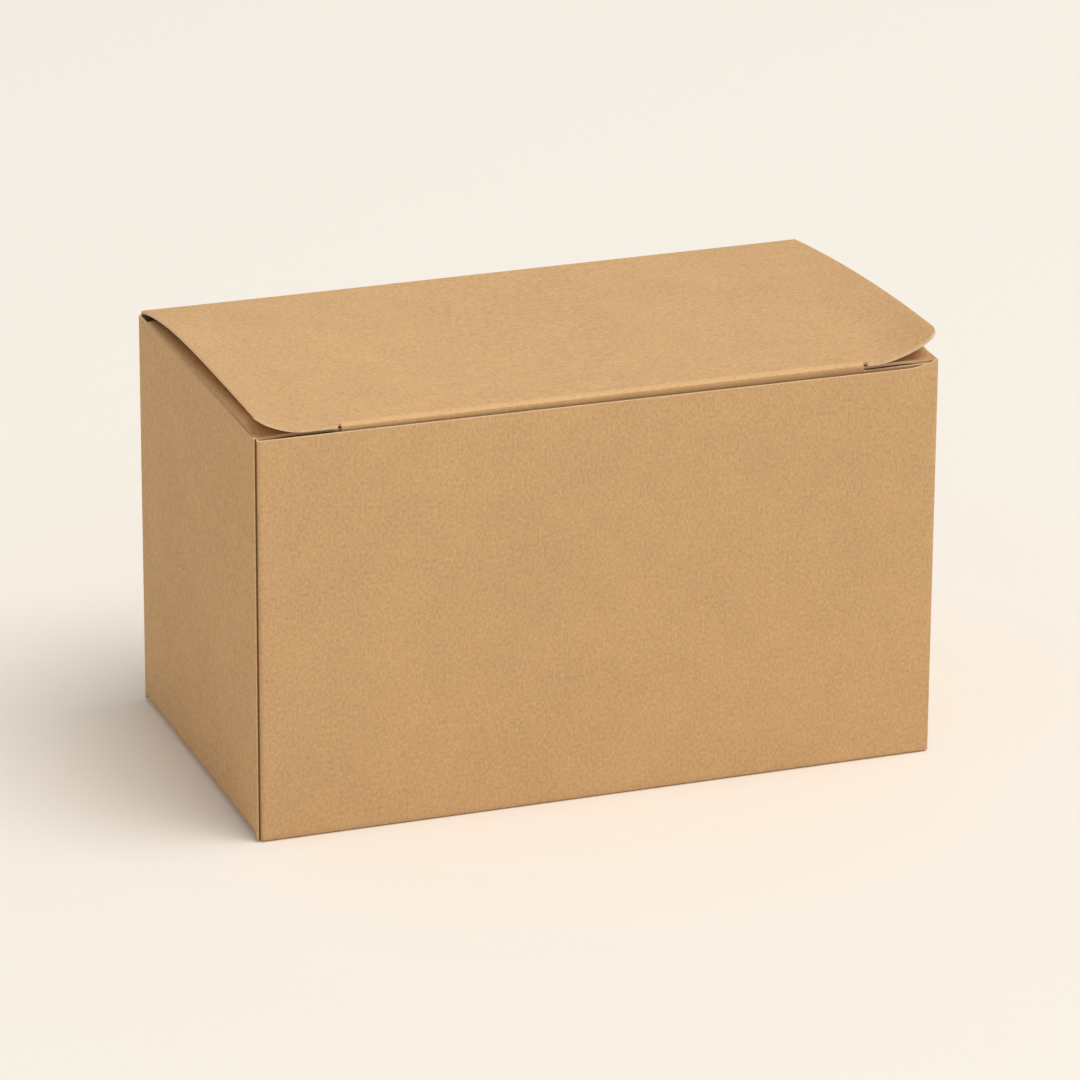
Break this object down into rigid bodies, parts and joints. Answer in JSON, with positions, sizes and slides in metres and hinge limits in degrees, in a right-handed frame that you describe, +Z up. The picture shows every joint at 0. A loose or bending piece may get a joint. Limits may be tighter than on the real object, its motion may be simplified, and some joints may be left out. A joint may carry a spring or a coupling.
{
  "type": "cardboard box",
  "caption": "Small closed folding carton of plain brown board, with a slit-lock tuck lid hinged along the back, two dust flaps under it and a glued bottom.",
  "frame": {"origin": "Centre of the base, on the face that the box stands on.", "axes": "+Z is up. +X runs along the long front wall, left to right. -Y is the front, where the lid tucks in, and the lid's fold is at the back."},
  "size_m": [0.12, 0.066, 0.0758],
  "materials": {
    "kraft_board": "matte"
  },
  "bodies": {
    "carton": {"carton": "kraft_board"},
    "lid": {"lid": "kraft_board"}
  },
  "joints": [
    {"name": "lid_hinge", "type": "hinge", "parent": "carton", "child": "lid", "pos_m": [0, 0.03275, 0.07125], "axis": [-1, 0, 0], "range_deg": [0, 180]}
  ]
}
